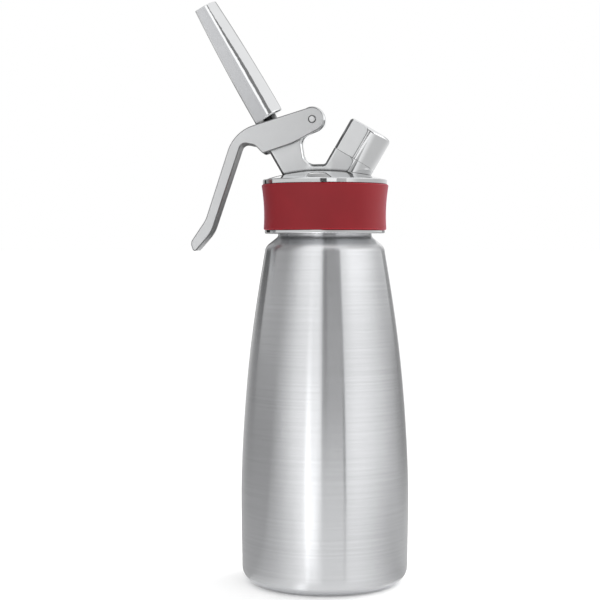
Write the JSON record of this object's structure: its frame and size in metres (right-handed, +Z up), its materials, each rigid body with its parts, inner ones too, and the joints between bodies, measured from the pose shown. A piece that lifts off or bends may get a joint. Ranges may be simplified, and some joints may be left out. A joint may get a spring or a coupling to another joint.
{
  "type": "whipped cream dispenser",
  "caption": "Pressure whipped cream dispenser: steel bottle, screw-on head with red grip sleeve, squeeze lever valve, tilted nozzle and capped charger port.",
  "frame": {"origin": "centre of the bottle's foot ring, on the surface it stands on", "axes": "+Z up along the bottle's axis; the lever and nozzle lean to -X, the charger port leans to +X; +Y is the far side when the lever is on the left"},
  "size_m": [0.111, 0.0862, 0.2976],
  "materials": {
    "bottle_steel": "brushed around its axis",
    "head_steel": "polished dome and disc, satin flats",
    "lever_steel": "satin blasted",
    "nozzle_steel": "smooth satin",
    "cap_chrome": "polished with satin flats",
    "red_silicone": "matte silicone",
    "seal_rubber": "matte",
    "guide_plastic": "matte",
    "valve_steel": "turned",
    "pierce_steel": "ground and sintered",
    "holder_brass": "turned"
  },
  "bodies": {
    "bottle": {"bottle": "bottle_steel"},
    "head_gasket": {"head_gasket": "seal_rubber"},
    "head": {"head_casting": "head_steel", "grip_sleeve": "red_silicone", "valve_guide": "guide_plastic", "stem_oring": "seal_rubber", "spring_washer": "valve_steel", "valve_spring": "valve_steel", "pierce_holder": "holder_brass", "piercing_pin": "pierce_steel", "micro_filter": "pierce_steel", "charger_seal": "seal_rubber", "check_valve": "seal_rubber", "check_valve_retainer": "valve_steel", "lever_pin": "lever_steel"},
    "valve": {"valve_stem": "valve_steel", "valve_poppet": "valve_steel", "valve_seal": "seal_rubber", "stem_collar": "valve_steel", "nozzle": "nozzle_steel", "nozzle_oring": "seal_rubber"},
    "lever": {"lever": "lever_steel"},
    "port_cap": {"port_cap": "cap_chrome", "cap_liner": "seal_rubber"}
  },
  "joints": [
    {"name": "head_lift", "type": "slide", "parent": "bottle", "child": "head_gasket", "axis": [0, 0, 1], "range_m": [0, 0.0101]},
    {"name": "head_unscrew", "type": "hinge", "parent": "head_gasket", "child": "head", "pos_m": [0, 0, 0.19], "axis": [0, 0, 1], "range_deg": [0, 900]},
    {"name": "lever_squeeze", "type": "hinge", "parent": "head", "child": "lever", "pos_m": [-0.00618, 0, 0.2367], "axis": [0, -1, 0], "range_deg": [0, 10], "stiffness_Nm_per_rad": 1.27, "springref_deg": -16.62},
    {"name": "valve_slide", "type": "slide", "parent": "head", "child": "valve", "axis": [0.5, 0, -0.866], "range_m": [0, 0.0034], "deforming": ["valve_spring"]},
    {"name": "cap_pull", "type": "slide", "parent": "head", "child": "port_cap", "axis": [0.5, 0, 0.866], "range_m": [0, 0.022]}
  ],
  "couplings": [
    {"joint": "head_lift", "follows": "head_unscrew", "m_per_rad": 0.0006366},
    {"joint": "valve_slide", "follows": "lever_squeeze", "m_per_rad": 0.0185}
  ]
}
